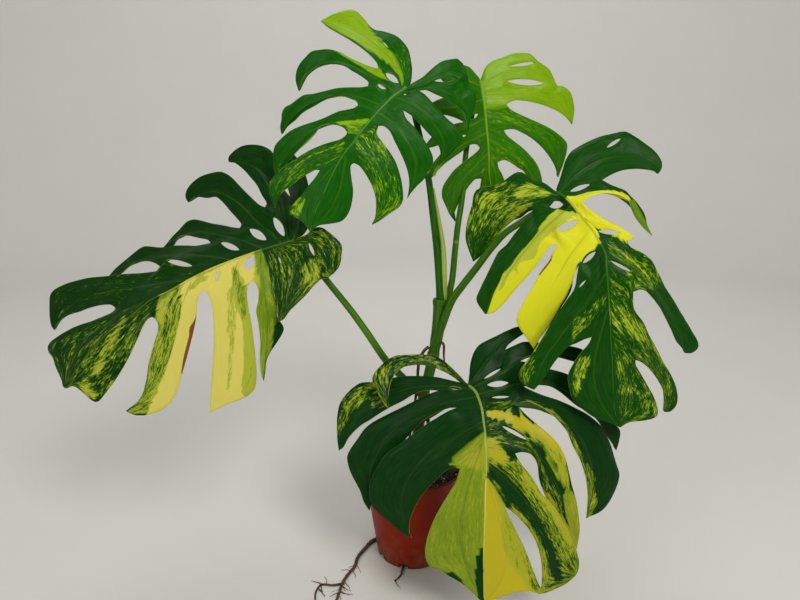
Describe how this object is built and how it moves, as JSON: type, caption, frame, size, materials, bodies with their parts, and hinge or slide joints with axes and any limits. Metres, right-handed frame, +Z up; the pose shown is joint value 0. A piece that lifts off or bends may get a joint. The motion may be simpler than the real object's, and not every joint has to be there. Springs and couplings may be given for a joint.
{
  "type": "potted aurea variegated monstera",
  "caption": "Potted climbing house plant with large cut and holed variegated leaves on arching stalks, in a tapered nursery pot with a rim band, roots out of its foot.",
  "frame": {"origin": "middle of the pot's underside, on the surface that it stands on", "axes": "+Z up, +Y away from the viewer, +X to the viewer's right"},
  "size_m": [0.7396, 0.2259, 0.6608],
  "materials": {
    "pot_plastic": "moulded thin nursery pot plastic, satin",
    "potting_soil": "loose dark potting mix with bark and perlite",
    "stem": "smooth green stem with brown papery sheath",
    "stalk": "smooth semi-gloss green leaf stalk",
    "leaf_green": "glossy green leaf with lime streaks",
    "leaf_lime": "glossy lime to mid-green leaf",
    "leaf_variegated": "glossy leaf, dark green with yellow and cream sectors",
    "root": "dry brown root skin"
  },
  "bodies": {
    "root": {"pot": "pot_plastic", "soil": "potting_soil", "main_stem": "stem", "petiole_left": "stalk", "petiole_top": "stalk", "petiole_lime": "stalk", "petiole_right": "stalk", "petiole_front": "stalk", "leaf_left": "leaf_variegated", "leaf_top": "leaf_green", "leaf_lime": "leaf_lime", "leaf_right": "leaf_variegated", "leaf_front": "leaf_variegated", "aerial_root_1": "root", "aerial_root_2": "root", "aerial_root_3": "root", "drain_root_main": "root", "drain_root_left": "root", "drain_root_front": "root"}
  },
  "joints": []
}
